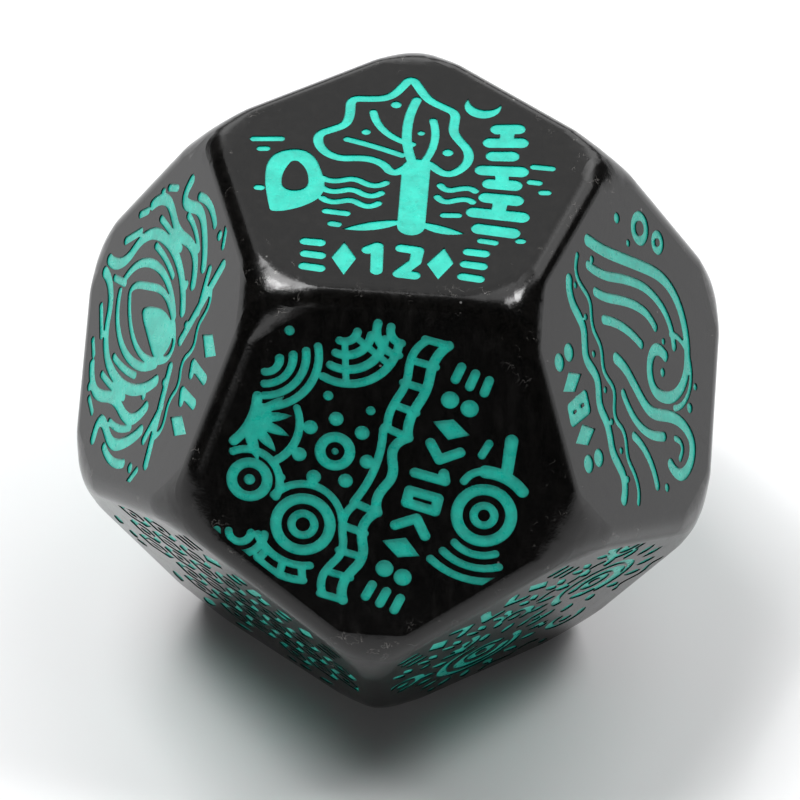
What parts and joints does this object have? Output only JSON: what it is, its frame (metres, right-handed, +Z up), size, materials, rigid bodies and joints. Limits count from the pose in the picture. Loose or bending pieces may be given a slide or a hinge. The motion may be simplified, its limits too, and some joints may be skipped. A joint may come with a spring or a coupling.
{
  "type": "polyhedral die",
  "caption": "Dodecahedral gaming die of moulded plastic with rounded edges, and an engraved, paint-filled picture and numeral on every face.",
  "frame": {"origin": "centre of the face that the die rests on", "axes": "+Z up; the front face, numeral 10, leans back from -Y; +X to the right of a viewer at the front"},
  "size_m": [0.0232, 0.0238, 0.02],
  "materials": {
    "body": "smooth black moulded plastic with a soft gloss",
    "paint": "teal infill paint, satin, slightly uneven"
  },
  "bodies": {
    "root": {"die_body": "body", "face_12_picture_paint": "paint", "face_12_numeral_paint": "paint", "face_10_picture_paint": "paint", "face_10_numeral_paint": "paint", "face_08_picture_paint": "paint", "face_08_numeral_paint": "paint", "face_11_picture_paint": "paint", "face_11_numeral_paint": "paint", "face_07_picture_paint": "paint", "face_07_numeral_paint": "paint", "face_04_picture_paint": "paint", "face_04_numeral_paint": "paint", "face_09_picture_paint": "paint", "face_09_numeral_paint": "paint", "face_06_picture_paint": "paint", "face_06_numeral_paint": "paint", "face_05_picture_paint": "paint", "face_05_numeral_paint": "paint", "face_03_picture_paint": "paint", "face_03_numeral_paint": "paint", "face_02_picture_paint": "paint", "face_02_numeral_paint": "paint", "face_01_picture_paint": "paint", "face_01_numeral_paint": "paint"}
  },
  "joints": []
}
